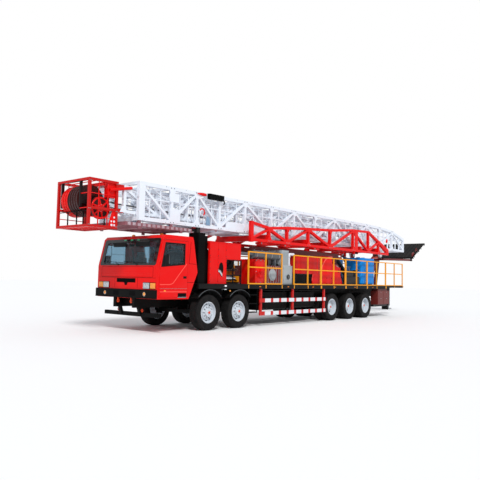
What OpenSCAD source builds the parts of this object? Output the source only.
// Workover rig on a five-axle carrier, mast lowered for the road.
// Millimetres. +X is forward, +Y the driver's left, +Z up. x = 0 is the front axle while drawing;
// every node is moved at the end so that the origin lies on the ground under the box's centre.

/* [Carrier] */
// Overall width over cab and deck
body_w = 2750; // [2500:10:3100]
// Bumper face ahead of the first axle
cab_front = 2150; // [1900:10:2400]
// Roof height of the cab
cab_top = 2790; // [2500:10:3000]
// Underside of the cab
cab_bottom = 970; // [900:10:1100]
// Top of the working deck
deck_z = 1420; // [1350:10:1500]
// Depth of the deck's edge channel
deck_h = 150; // [100:10:250]
// Deck's rear end, behind the first axle
deck_back = 12400; // [11800:10:12600]
// Rear end of the side walkways
walk_back = 13950; // [13000:10:14500]
// Height of the railings above the deck
rail_h = 1100; // [900:10:1300]

/* [Wheels] */
// Tyre diameter
tyre_d = 1090; // [1000:10:1200]
// Rim diameter
rim_d = 654; // [560:2:700]
// Width of a steered tyre
tyre_w1 = 340; // [280:10:400]
// Width of one tyre of a rear pair
tyre_w2 = 290; // [250:10:320]
// Outer plane of the wheels from the middle
wheel_y = 1330; // [1200:5:1400]
// Kingpin from the middle
kingpin_y = 900; // [850:5:950]

/* [Mast] */
// Half width of the lower section
mast_y = 905; // [850:5:920]
// Underside of the lower section on the road
mast_z0 = 3160; // [3100:10:3250]
// Top of the lower section on the road
mast_z1 = 4270; // [4100:10:4350]
// Front end of the lower section
mast_front = 2505; // [2300:5:2600]
// Tail end of the lower section
mast_tail = 15100; // [14500:10:15200]
// Half width of the upper section
up_y = 735; // [680:5:745]
// Raising hinge behind the first axle
pivot_back = 12600; // [12500:10:12800]
// Raising hinge above the ground
pivot_z = 2900; // [2800:10:3000]
// Front of the crown cage
crown_front = 4040; // [3800:10:4200]
// Half width of the crown cage
crown_y = 750; // [650:10:850]
// Half width over the red side trusses
side_y = 1250; // [1150:10:1300]

/* [Rear] */
// Rear edge of the folding rear floor
floor_back = 17200; // [16800:10:17400]

/* [Hidden] */
$fn = 64;
half_w = body_w / 2;
axle_z = tyre_d / 2;
x_mid = (crown_front - floor_back) / 2;
chord = 110;
run = 0.3;
stub_d = 110;
pin_d = 60;
shaft_d = 120;
post = 90;
rail_y0 = 380;
rail_y1 = 480;
rail_z0 = 900;
deck_z0 = deck_z - deck_h;
deck_front = 520;
up_z0 = mast_z0 + 170;
up_z1 = mast_z1 - 170;
px = -pivot_back;
eye_x = -10000;
eye_z = 2760;
cyl_x = -11620;
cyl_z = 1500;
cyl_y = 240;
cyl_a = atan2(eye_z - cyl_z, eye_x - cyl_x);
cyl_l = norm([eye_x - cyl_x, eye_z - cyl_z]);
seat_y = half_w - 625;
stage_d = 188;
rod_d = 148;
floor_x = -15650;
floor_z = 2780;
drum_x = -8150;
drum_z = 2010;
jack_x = -12560;
jack_y = 1180;

red = [0.72, 0.09, 0.07];
dark_red = [0.42, 0.08, 0.07];
black = [0.09, 0.09, 0.1];
white = [0.88, 0.89, 0.9];
yellow = [0.93, 0.62, 0.1];
steel = [0.66, 0.67, 0.69];
blue = [0.1, 0.24, 0.5];
grey = [0.5, 0.52, 0.53];

// [distance behind the first axle, 1 if steered]
axles = [[0, 1], [1417, 1], [7256, 0], [8695, 0], [10105, 0]];
ax_x = 0;
ax_steer = 1;

module both() { children(); mirror([0, 1, 0]) children(); }
module left_right(s) { mirror([0, s < 0 ? 1 : 0, 0]) children(); }
// A box given by its low and high corners
module span(a, b) { translate(a) cube(b - a); }
// A profile in x and z, as wide as y0 to y1
module profile(pts, y0, y1) { translate([0, y1, 0]) rotate([90, 0, 0]) linear_extrude(y1 - y0) polygon(pts); }
module bar_y(x, z, y0, y1, d) { translate([x, y0, z]) rotate([-90, 0, 0]) cylinder(d = d, h = y1 - y0); }

// Two triangles beside the diagonal of one bay: corners a b below, c d above (c over b)
function bay(a, b, c, d, h, up) = let (s = h * (b[0] - a[0]) / max(1, c[1] - b[1]), k = s / (b[0] - a[0]))
    up ? [[a + [0, h], d, c + (d - c) * k], [a + (b - a) * k, b, c - [0, h]]]
       : [[a, b + (a - b) * k, d - [0, h]], [b + [0, h], c, d + (c - d) * k]];
// Flat truss in x and z. st: [x, z below, z above] from front to rear
module flat_truss(st, c, p, h, y0, y1, first = 0) {
    n = len(st);
    outer = concat([for (i = [0 : n - 1]) [st[i][0], st[i][1]]], [for (i = [n - 1 : -1 : 0]) [st[i][0], st[i][2]]]);
    holes = [for (i = [0 : n - 2]) let (
        x1 = st[i][0] - (i == 0 ? p : p / 2), x0 = st[i + 1][0] + (i == n - 2 ? p : p / 2),
        a = [x0, st[i + 1][1] + c], b = [x1, st[i][1] + c], cc = [x1, st[i][2] - c], d = [x0, st[i + 1][2] - c])
        each bay(a, b, cc, d, h, (i + first) % 2 == 0)];
    pts = concat(outer, [for (t = holes) each t]);
    translate([0, y1, 0]) rotate([90, 0, 0]) linear_extrude(y1 - y0)
        polygon(pts, concat([[for (i = [0 : len(outer) - 1]) i]],
            [for (j = [0 : len(holes) - 1]) [for (k = [0 : 2]) len(outer) + 3 * j + k]]));
}
// Flat frame with plain windows. xs and zs: centre lines of its members
module flat_frame(xs, zs, t, y0, y1) {
    translate([0, y1, 0]) rotate([90, 0, 0]) linear_extrude(y1 - y0) difference() {
        translate([xs[0] - t / 2, zs[0] - t / 2]) square([xs[len(xs) - 1] - xs[0] + t, zs[len(zs) - 1] - zs[0] + t]);
        for (i = [0 : len(xs) - 2], j = [0 : len(zs) - 2])
            translate([xs[i] + t / 2, zs[j] + t / 2]) square([xs[i + 1] - xs[i] - t, zs[j + 1] - zs[j] - t]);
    }
}

// ---- carrier ----
module chassis_frame() color(black) {
    both() {
        span([-deck_back, rail_y0, rail_z0], [deck_front, rail_y1, deck_z0]);
        span([-700, rail_y0, 700], [1950, rail_y1, rail_z0]);
        span([deck_front, rail_y0, rail_z0], [1950, rail_y1, cab_bottom]);
    }
    // [behind the first axle]
    for (x = [-1880, -1000, 700, 2100, 3500, 4900, 6300, 7950, 9400, 10900, 12340])
        span([-x, run - rail_y0, x < 700 ? 760 : 960], [-x + 60, rail_y0 - run, x < 700 ? 940 : 1200]);
}
module bumper() color(black) {
    span([cab_front, -half_w, 980], [cab_front + 60, half_w, 1230]);
    both() {
        span([1950, rail_y0, 700], [cab_front, rail_y1, cab_bottom]);
        span([cab_front, rail_y0, 700], [cab_front + 60, rail_y1, 985]);
        profile([[1980, 760], [2060, 760], [1960, 450], [1860, 450]], rail_y0, rail_y1);
    }
    bar_y(1900, 500, -1100, 1100, 90);
}
cab_out = [[cab_front, cab_bottom], [cab_front, 1900], [1955, 2700], [1860, cab_top], [800, cab_top], [760, 2680], [580, 1750], [930, cab_bottom]];
cab_in = [[cab_front - 60, cab_bottom + 60], [cab_front - 60, 1905], [1900, 2690], [1835, cab_top - 60], [850, cab_top - 60], [822, 2670], [645, 1755], [975, cab_bottom + 60]];
door_out = [[1000, 1010], [2070, 1010], [2070, 1900], [1905, 2640], [1000, 2640]];
door_hole = [[992, 1002], [2078, 1002], [2078, 1902], [1911, 2648], [992, 2648]];
hinge_x = 2074;
hinge_y = half_w - 13;
hinge_z = [1200, 1700];
// heights where the pillar makes room for the door's barrels and edge
hinge_cut = [[1002, hinge_z[0] - 120], [hinge_z[0] - 60.3, hinge_z[0] + 60.3], [hinge_z[0] + 120, hinge_z[1] - 120], [hinge_z[1] - 60.3, hinge_z[1] + 60.3], [hinge_z[1] + 120, 2010]];
door_win = [[1130, 1980], [1990, 1900], [1860, 2550], [1130, 2550]];
module cab_shell() color(red) {
    cab_body();
    both() for (z = hinge_z, k = [-120, 60.3]) translate([hinge_x, hinge_y, z + k]) cylinder(d = 26, h = 59.7);
}
module cab_body() difference() {
    profile(cab_out, -half_w, half_w);
    profile(cab_in, 60 - half_w, half_w - 60);
    span([1900, -1190, 1940], [2300, 1190, 2630]);
    span([500, -900, 2050], [900, 900, 2550]);
    both() {
        profile(door_hole, half_w - 70, half_w + 10);
        // round relief for the hinge barrels
        for (z = hinge_cut) translate([hinge_x, hinge_y, z[0]]) cylinder(d = 34, h = z[1] - z[0]);
    }
}
module cab_glass() color([0.2, 0.25, 0.28]) {
    // windscreen and rear window, each filling its opening
    profile([[2120, 1940], [2106, 1940], [1937, 2630], [1951, 2630]], -1190, 1190);
    profile([[665, 2050], [680, 2050], [772, 2550], [757, 2550]], -900, 900);
}
module cab_interior() color(black) {
    span([1750, 175 - half_w, 1030], [2080, half_w - 175, 1500]);
    profile([[1700, 1500], [2080, 1500], [2080, 1780], [1760, 1700]], 125 - half_w, half_w - 125);
    for (y = [-seat_y, 0, seat_y]) {
        span([1080, y - 240, 1030], [1500, y + 240, 1330]);
        profile([[1020, 1330], [1540, 1330], [1540, 1440], [1160, 1440], [1080, 2150], [980, 2150]], y - 240, y + 240);
    }
    translate([1660, seat_y, 1760]) rotate([0, -35, 0]) rotate_extrude() translate([210, 0]) circle(18, $fn = 24);
    translate([1660, seat_y, 1760]) rotate([0, -35, 0]) { cylinder(d = 70, h = 30, center = true); cube([30, 410, 16], center = true); }
    translate([1660, seat_y, 1760]) rotate([0, 145, 0]) cylinder(d = 45, h = 160);
}
module door(s) color(red) left_right(s) {
    difference() {
        profile(door_out, half_w - 50, half_w);
        profile(door_win, half_w - 60, half_w + 10);
        for (z = hinge_z, k = [-125, 60]) translate([hinge_x, hinge_y, z + k]) cylinder(d = 34, h = 65);
    }
    for (z = hinge_z) translate([hinge_x, hinge_y, z - 60]) cylinder(d = 26, h = 120);
}
module door_glass(s) color([0.2, 0.25, 0.28]) left_right(s) profile(door_win, half_w - 32, half_w - 20);
module axles_node() color(black) for (a = axles) translate([-a[ax_x], 0, 0]) {
    if (a[ax_steer] == 1) {
        span([-65, -kingpin_y, axle_z - 65], [65, kingpin_y, axle_z + 65]);
        both() {
            translate([0, kingpin_y, axle_z - 85]) cylinder(d = 130, h = 170);
            span([-520, rail_y0, axle_z + 65], [520, rail_y1, axle_z + 130]);
            span([-90, rail_y0, axle_z + 130], [90, rail_y1, a[ax_x] < 700 ? 700 : rail_z0]);
            for (x = [-480, 420]) span([x, rail_y0, axle_z + 130], [x + 60, rail_y1, a[ax_x] < 700 ? 700 : (x < 0 ? rail_z0 : 700)]);
        }
    } else {
        bar_y(0, axle_z, -700, 700, 200);
        both() bar_y(0, axle_z, 700, 1120, stub_d);
        translate([0, 0, axle_z]) sphere(d = 420);
        both() {
            span([-560, rail_y1 + 10, axle_z + 85], [560, rail_y1 + 110, axle_z + 150]);
            span([-110, rail_y1 + 10, axle_z + 60], [110, rail_y1 + 120, rail_z0 + 60]);
        }
        both() span([-80, rail_y1, rail_z0 - 60], [80, rail_y1 + 120, rail_z0 + 60]);
    }
}
module knuckle(i, s) color(black) translate([-axles[i][ax_x], 0, axle_z]) left_right(s) {
    for (z = [-125 - run, 85 + run]) span([-60, kingpin_y - 60, z], [60, kingpin_y + 108, z + 40]);
    span([-60, kingpin_y + 80, -125], [60, kingpin_y + 108, 125]);
    bar_y(0, 0, kingpin_y + 108, wheel_y - 90, stub_d);
}
// Half section of one tyre, centred on its own width
module tyre_ring(w) rotate([-90, 0, 0]) rotate_extrude() polygon([
    [rim_d / 2, -w * 0.42], [rim_d / 2 + 40, -w * 0.48], [axle_z - 130, -w / 2], [axle_z - 45, -w * 0.49], [axle_z - 12, -w * 0.42], [axle_z, -w * 0.36],
    [axle_z, w * 0.36], [axle_z - 12, w * 0.42], [axle_z - 45, w * 0.49], [axle_z - 130, w / 2], [rim_d / 2 + 40, w * 0.48], [rim_d / 2, w * 0.42]]);
module tyre(i, s) color(black) translate([-axles[i][ax_x], 0, axle_z]) left_right(s) {
    if (axles[i][ax_steer] == 1) translate([0, wheel_y - tyre_w1 / 2, 0]) tyre_ring(tyre_w1);
    else for (k = [0, 1]) translate([0, wheel_y - tyre_w2 / 2 - k * (tyre_w2 + 40), 0]) tyre_ring(tyre_w2);
}
module rim(i, s) color(steel) translate([-axles[i][ax_x], 0, axle_z]) left_right(s) {
    r = rim_d / 2;
    b = stub_d / 2 + run;
    if (axles[i][ax_steer] == 1) translate([0, wheel_y - tyre_w1 / 2, 0]) rotate([-90, 0, 0]) rotate_extrude()
        polygon([[r, -143], [r, 143], [r - 22, 150], [r - 30, 60], [240, 40], [210, 95], [135, 110], [125, 170], [0, 178], [0, 95], [b, 85], [b, -60],
            [100, -60], [120, 20], [200, 15], [235, -30], [r - 26, -30], [r - 22, -143]]);
    else translate([0, wheel_y - tyre_w2 / 2, 0]) rotate([-90, 0, 0]) rotate_extrude()
        polygon([[r, -122], [r, 122], [r - 22, 130], [r - 30, -60], [230, -110], [150, -115], [140, 20], [90, 60], [0, 64], [0, 20], [b, 10], [b, -380],
            [120, -380], [130, -170], [r - 30, -190], [r - 24, -450], [r, -452], [r, -208], [r - 8, -200], [r - 8, -130]]);
}
module deck() color(black) {
    span([-deck_back, -half_w, deck_z - 20], [deck_front, half_w, deck_z]);
    both() {
        span([-deck_back, half_w - 80, deck_z0], [deck_front, half_w, deck_z - 20]);
        span([-walk_back, 1000, deck_z - 20], [-deck_back, half_w, deck_z]);
        span([-walk_back, half_w - 60, deck_z - 90], [-deck_back, half_w, deck_z - 20]);
        span([-walk_back, 1000, deck_z - 90], [-deck_back, 1040, deck_z - 20]);
        span([-deck_back, rail_y0, deck_z0], [deck_front, rail_y1, deck_z - 20]);
    }
    // [front of each cross member behind the first axle]
    for (x = [-440, 1000, 2400, 3800, 5200, 6600, 8000, 9400, 10800, 12300])
        span([-x - 80, -half_w + 80, deck_z0], [-x, half_w - 80, deck_z - 20]);
    // mudguards over the steered wheels
    both() for (x = [0, -1417]) translate([x, half_w, axle_z]) rotate([90, 0, 0]) linear_extrude(400) difference() {
        circle(690); circle(672);
        translate([-800, -800]) square([1600, 1240]);
    }
    both() for (x = [0, -1417]) span([x - 60, half_w - 400, axle_z + 680], [x + 60, half_w - 80, deck_z0]);
}
// Railing posts: [front post, rear post] behind the first axle for each panel
panels = [[1830, 3710], [4470, 6310], [6360, 8240], [8290, 10150], [10200, 12020], [12060, 13900]];
module railings() color(yellow) both() for (p = panels)
    flat_frame([-p[1], -(p[0] + p[1]) / 2, -p[0]], [deck_z + 20, deck_z + rail_h * 0.52, deck_z + rail_h - 20], 40, half_w - 50, half_w - 10);
module side_guards() {
    color(red) both() for (x = [2570, 4460, 6620]) span([-x - 40, half_w - 110, 390], [-x + 40, half_w - 40, deck_z0]);
    color(white) both() for (z = [370, 810]) span([-6700, half_w - 40, z], [-2450, half_w - 10, z + 130]);
}
module under_tanks() color(grey) both() {
    span([-4300, 560, 520], [-2700, 1150, 1150]);
    span([-6150, 560, 560], [-4500, 1150, 1150]);
    for (x = [2800, 4100, 4600, 5950]) span([-x - 60, 480, 1150], [-x, 1150, deck_z0]);
}
// ---- machinery on the deck ----
module engine() color(yellow) {
    span([-2350, -500, deck_z], [-1000, 500, 1700]);
    span([-2300, -330, 1700], [-1050, 330, 2100]);
}
module cowl() color(red) {
    both() profile([[-100, deck_z], [-900, deck_z], [-900, 2200], [-1600, 2200], [-1600, 2740], [-100, 2740]], 1140, 1200);
    span([-1600, -1140, 2690], [-100, 1140, 2740]);
    span([-700, -900, deck_z], [-200, 900, 2500]);
    both() span([-200, 600, 2500], [-160, 1140, 2690]);
}
module silencer() color(grey) {
    translate([-3950, 980, 2450]) rotate([0, 90, 0]) cylinder(d = 300, h = 1500);
    translate([-2560, 980, 2450]) rotate([0, 90, 0]) cylinder(d = 110, h = 860);
    for (x = [-2700, -3700]) span([x - 40, 900, x > -3000 ? 2280 : 2080], [x + 40, 1060, 2330]);
}
module gearcase() color(dark_red) {
    span([-3000, 450, deck_z], [-2450, 1150, 2280]);
    span([-3950, -500, deck_z], [-3000, 1100, 2080]);
    span([-2450, -200, 1600], [-2350, 200, 1900]);
}
module cabinets() color(grey) {
    span([-4650, 500, deck_z], [-4050, 1150, 2110]);
    span([-4400, 530, 2110], [-3970, 1150, 2670]);
    both() color(black) span([-6600, 550, deck_z], [-4900, 1100, 1840]);
    both() color(red) span([-6600, 500, 1840], [-4880, 1150, 2500]);
}
module drawworks() color(red) {
    difference() {
        profile(concat([[-7500, deck_z], [-6650, deck_z]], [for (a = [0 : 15 : 90]) [-7400 + 750 * cos(a), 1820 + 750 * sin(a)]], [[-7500, 2570]]), -1150, 1150);
        profile(concat([[-7600, deck_z + 60], [-6710, deck_z + 60]], [for (a = [0 : 15 : 90]) [-7400 + 690 * cos(a), 1820 + 690 * sin(a)]], [[-7600, 2510]]), -1090, 1090);
    }
    both() difference() {
        profile([[-7900, deck_z], [-7500, deck_z], [-7500, 2300], [-7700, 2300], [-8150, 2160], [-8300, 2160], [-8300, 1850], [-8500, deck_z]], 1000, 1080);
        bar_y(drum_x, drum_z, 900, 1200, shaft_d + 2 * run);
    }
}
module drum() color(dark_red) {
    bar_y(drum_x, drum_z, -1100, 1100, shaft_d);
    bar_y(drum_x, drum_z, -700, 700, 560);
    both() { bar_y(drum_x, drum_z, 690, 750, 880); bar_y(drum_x, drum_z, 830, 960, 620); }
}
module blue_tanks() color(blue) both() {
    span([-11200, 420, 1500], [-9950, 1200, 2650]);
    for (x = [10050, 11000]) span([-x - 100, 460, deck_z], [-x, 1160, 1500]);
}
module mast_supports() color(dark_red) {
    // front rest
    both() span([0, 720, deck_z], [140, 860, mast_z0 - 120 - run]);
    span([0, -860, mast_z0 - 120], [140, 860, mast_z0]);
    span([20, run - 720, 2000], [120, 720 - run, 2120]);
    // hinge frame: legs and braces
    both() difference() {
        union() {
            profile([[-deck_back, deck_z], [-12150, deck_z], [px + 110, pivot_z], [px - 110, pivot_z]], 650, 735);
            bar_y(px, pivot_z, 650, 735, 260);
            profile([[-11550, deck_z], [-11250, deck_z], [-12380, 2700], [-12480, 2560]], 650, 735);
        }
        bar_y(px, pivot_z, 600, 800, 104);
    }
    // arms that carry the rear floor
    both() {
        bar_y(px + 80, pivot_z - 210, 650, 1030, 100);
        profile([[px + 130, pivot_z - 260], [px + 130, pivot_z - 160], [floor_x, floor_z + 50], [floor_x, floor_z - 50]], 950, 1030);
        bar_y(floor_x, floor_z, 950, 1030, 100);
        bar_y(floor_x, floor_z, 1030, 1100, pin_d);
    }
    bar_y(px + 80, pivot_z - 210, run - 650, 650 - run, 100);
    // beams over the machinery
    both() {
        span([-9100, 400, 2600], [-3000, 520, 2780]);
        for (x = [4760, 8800]) span([-x - 120, 400, deck_z], [-x, 520, 2600 - run]);
        span([-3120, 400, 2080], [-3000, 520, 2600 - run]);
    }
}
module rear_boxes() color(dark_red) {
    both() {
        span([-12390, 1000, 560], [-11220, half_w - 20, 1190]);
        span([-12300, 1000, 1190], [-11300, half_w - 60, deck_z0]);
    }
    both() color(black) {
        span([-12390, 1000, 460], [-11000, 1250, 560]);
        difference() {
            span([jack_x - 90, jack_y - 90, 480], [jack_x + 90, jack_y + 90, deck_z - 90]);
            span([jack_x - 70, jack_y - 70, 400], [jack_x + 70, jack_y + 70, deck_z - 130]);
        }
        span([-12470, 1100, 700], [-12390, 1260, 1100]);
        span([jack_x - 90, jack_y - 90, deck_z - 90], [jack_x + 90, jack_y + 90, deck_z - 20]);
    }
}
module jack(s) color(steel) left_right(s) {
    span([jack_x - 70 + run, jack_y - 70 + run, 360], [jack_x + 70 - run, jack_y + 70 - run, deck_z - 200]);
    span([jack_x - 150, jack_y - 150, 330], [jack_x + 150, jack_y + 150, 362]);
}
// ---- mast ----
// Lower section stations: [x, z above]
low_st = [[2505, 4270], [1250, 4270], [200, 4270], [-850, 4270], [-2150, 4270], [-3650, 4270], [-5100, 4270], [-6600, 4270],
    [-8100, 4270], [-9600, 4270], [-11000, 4270], [-12300, 4250], [-13700, 4170], [-15100, 3860]];
module mast_lower() color(white) {
    both() flat_truss([for (s = low_st) [s[0], mast_z0, s[1]]], chord, post, 45, mast_y - chord, mast_y);
    for (i = [0 : len(low_st) - 1]) {
        x = low_st[i][0] - (i == 0 ? 45 : i == len(low_st) - 1 ? -45 : 0);
        for (z = [mast_z0, low_st[i][1] - 90]) span([x - 45, chord + run - mast_y, z], [x + 45, mast_y - chord - run, z + 90]);
    }
    // guide tracks, front guide shoes
    both() {
        span([low_st[12][0], up_y - 90, mast_z0 + 90 + run], [mast_front - 120, up_y, mast_z0 + 120]);
        span([mast_front - 90, up_y - 90, mast_z0 + 90 + run], [mast_front, up_y, up_z0 - run]);
        span([mast_front - 90, up_y + run, up_z0], [mast_front, mast_y - chord - run, up_z0 + 90]);
    }
    // hinge lugs and pins
    both() {
        profile([[px + 260, mast_z0 - run], [px - 260, mast_z0 - run], [px - 115, pivot_z - 30], [px + 115, pivot_z - 30]], 745, 825);
        span([px - 260, 745, mast_z0 - 30], [px + 260, mast_y, mast_z0 - run]);
        bar_y(px, pivot_z, 745, 825, 240);
        bar_y(px, pivot_z, 640, 745, 94);
    }
}
// Side truss stations: [x, z above]
side_st = [[-2080, 3560], [-3090, 3440], [-4190, 3540], [-5600, 3620], [-7210, 3700], [-9130, 3860], [-10540, 3890], [-11550, 3520], [-12560, 3150]];
module side_trusses() color(red) {
    both() flat_truss([for (s = side_st) [s[0], 2880, s[1]]], 100, 90, 45, side_y - 110, side_y, 1);
    // cross beams under the lower section: behind the first axle
    for (x = [3090, 5600, 7210, 10000, 11550]) span([-x - 60, 110 + run - side_y, 2960], [-x + 60, side_y - 110 - run, mast_z0 - run]);
    both() for (y = [cyl_y - 120, cyl_y + 80]) difference() {
        union() { span([eye_x - 60, y, eye_z], [eye_x + 60, y + 40, 2960]); bar_y(eye_x, eye_z, y, y + 40, 130); }
        bar_y(eye_x, eye_z, y - 10, y + 50, 60);
    }
}
module racking_board() color(white) {
    both() span([400, 820, 2990], [2950, 900, 3090]);
    for (x = [400, 1200, 2000, 2870]) span([x, -820, 2990], [x + 80, 820, 3090]);
    for (x = [1250, 2460]) both() span([x - 40, 820, 3090], [x + 40, 900, mast_z0]);
}
up_xs = [2900, 1700, 500, -700, -1900, -3100, -4300, -5500, -6700, -7900, -9100, -10600];
module mast_upper() color(white) {
    both() flat_truss([for (x = up_xs) [x, up_z0, up_z1]], 90, 80, 40, up_y - 90, up_y);
    for (i = [0 : len(up_xs) - 1]) {
        x = up_xs[i] - (i == 0 ? 40 : i == len(up_xs) - 1 ? -40 : 0);
        for (z = [up_z0, up_z1 - 80]) span([x - 40, 90 + run - up_y, z], [x + 40, up_y - 90 - run, z + 80]);
    }
    // guide shoes at the tail
    both() {
        span([-10560, up_y + run, up_z0], [-10440, mast_y - chord - run, up_z0 + 90]);
        span([-10560, up_y - 80, mast_z0 + 120 + run], [-10440, up_y - 10, up_z0 - run]);
    }
}
crown_back = crown_front - 940;
module crown_frame() color(red) {
    z = [2895, 3370, 4125];
    xs = [crown_back + 35, crown_front - 35];
    both() flat_frame(xs, z, 70, crown_y - 70, crown_y);
    for (x = xs, k = [z[0], z[2]]) span([x - 35, 70 - crown_y, k - 35], [x + 35, crown_y - 70, k + 35]);
    both() span([2900, up_y - 90, up_z0], [crown_back, up_y, up_z0 + 90]);
    both() span([2900, up_y - 90, up_z1 - 90], [crown_back, up_y, up_z1]);
    // sheave beams
    for (y = [-560, 300]) difference() {
        span([crown_back + 70, y, 3500], [crown_front - 70, y + 50, 3740]);
        bar_y(3640, 3620, y - 10, y + 60, shaft_d + 2 * run);
    }
    for (y = [-560, 300], k = [[crown_back, 0], [crown_front - 70, 0]]) span([k[0], y, 3405], [k[0] + 70, y + 50, 4090]);
    // fast line sheave on its own pin
    bar_y(3560, 3400, 520, 600, 600);
    bar_y(3560, 3400, 470, 680, 110);
}
module crown_sheaves() color(dark_red) {
    bar_y(3640, 3620, -590, 370, shaft_d);
    for (y = [-480, -370, -260, -150, -40, 70, 180]) difference() {
        bar_y(3640, 3620, y, y + 70, 860);
        translate([3640, y - 1, 3620]) rotate([-90, 0, 0]) rotate_extrude() polygon([[440, 15], [440, 57], [395, 36]]);
    }
}
module rear_floor() color(black) difference() {
    translate([floor_x, 0, floor_z]) rotate([0, 28.3, 0]) {
        span([-1750, -1200, 135], [0, 1200, 165]);
        for (x = [-1750, -900, -60]) span([x, -1200, 75], [x + 60, 1200, 135]);
        both() span([-1750, 1040, 75], [0, 1100, 135]);
        both() { bar_y(0, 0, 1030 + run, 1100, 120); span([-60, 1030 + run, 0], [0, 1100, 75]); }
    }
    both() bar_y(floor_x, floor_z, 1000, 1200, pin_d + 2 * run);
}
// ---- raising cylinders ----
module along_cyl(y) translate([cyl_x, y, cyl_z]) rotate([0, 90 - cyl_a, 0]) children();
module cyl_barrel() color(grey) for (s = [-1, 1]) along_cyl(s * cyl_y) {
    difference() {
        union() { translate([0, 0, 90]) cylinder(d = 230, h = cyl_l - 330); rotate([-90, 0, 0]) translate([0, 0, -50]) cylinder(d = 150, h = 100); translate([-60, -50, 0]) cube([120, 100, 95]); }
        translate([0, 0, 130]) cylinder(d = 200, h = cyl_l - 430);
        translate([0, 0, 130]) cylinder(d = stage_d + 2 * run, h = cyl_l);
        rotate([-90, 0, 0]) translate([0, 0, -60]) cylinder(d = pin_d + 2 * run, h = 120);
    }
}
module cyl_stage() color(steel) for (s = [-1, 1]) along_cyl(s * cyl_y) difference() {
    translate([0, 0, 150]) cylinder(d = stage_d, h = cyl_l - 350);
    translate([0, 0, 180]) cylinder(d = 160, h = cyl_l - 440);
    translate([0, 0, 180]) cylinder(d = rod_d + 2 * run, h = cyl_l);
}
module cyl_rod() color(steel) for (s = [-1, 1]) along_cyl(s * cyl_y) difference() {
    union() {
        translate([0, 0, 200]) cylinder(d = rod_d, h = cyl_l - 290);
        translate([0, 0, cyl_l]) rotate([-90, 0, 0]) translate([0, 0, -50]) cylinder(d = 130, h = 100);
        translate([-50, -50, cyl_l - 95]) cube([100, 100, 90]);
    }
    translate([0, 0, cyl_l]) rotate([-90, 0, 0]) translate([0, 0, -60]) cylinder(d = pin_d + 2 * run, h = 120);
}
module cyl_base() color(dark_red) both() {
    for (y = [cyl_y - 120, cyl_y + 80]) {
        profile([[cyl_x - 160, deck_z], [cyl_x + 160, deck_z], [cyl_x + 60, cyl_z + 60], [cyl_x - 60, cyl_z + 60]], y, y + 40);
    }
    bar_y(cyl_x, cyl_z, cyl_y - 120, cyl_y + 120, pin_d);
}

translate([-x_mid, 0, 0]) {
    chassis_frame();
    bumper();
    cab_shell();
    cab_glass();
    cab_interior();
    door(1);  // door_left
    door(-1);  // door_right
    door_glass(1);  // door_glass_left
    door_glass(-1);  // door_glass_right
    axles_node();  // axle_beams
    knuckle(0, 1);  // knuckle_fl1
    knuckle(0, -1);  // knuckle_fr1
    knuckle(1, 1);  // knuckle_fl2
    knuckle(1, -1);  // knuckle_fr2
    tyre(0, 1);  // tyre_fl1
    tyre(0, -1);  // tyre_fr1
    tyre(1, 1);  // tyre_fl2
    tyre(1, -1);  // tyre_fr2
    tyre(2, 1);  // tyre_rl1
    tyre(2, -1);  // tyre_rr1
    tyre(3, 1);  // tyre_rl2
    tyre(3, -1);  // tyre_rr2
    tyre(4, 1);  // tyre_rl3
    tyre(4, -1);  // tyre_rr3
    rim(0, 1);  // rim_fl1
    rim(0, -1);  // rim_fr1
    rim(1, 1);  // rim_fl2
    rim(1, -1);  // rim_fr2
    rim(2, 1);  // rim_rl1
    rim(2, -1);  // rim_rr1
    rim(3, 1);  // rim_rl2
    rim(3, -1);  // rim_rr2
    rim(4, 1);  // rim_rl3
    rim(4, -1);  // rim_rr3
    deck();
    railings();
    side_guards();
    under_tanks();
    engine();
    cowl();  // engine_cowl
    silencer();
    gearcase();
    cabinets();
    drawworks();  // drawworks_guard
    drum();  // drawworks_drum
    blue_tanks();
    union() { mast_supports(); cyl_base(); }
    rear_boxes();
    jack(1);  // jack_left
    jack(-1);  // jack_right
    mast_lower();
    side_trusses();
    racking_board();
    mast_upper();
    crown_frame();
    crown_sheaves();
    rear_floor();
    cyl_barrel();  // cyl_barrels
    cyl_stage();  // cyl_stages
    cyl_rod();  // cyl_rods
}
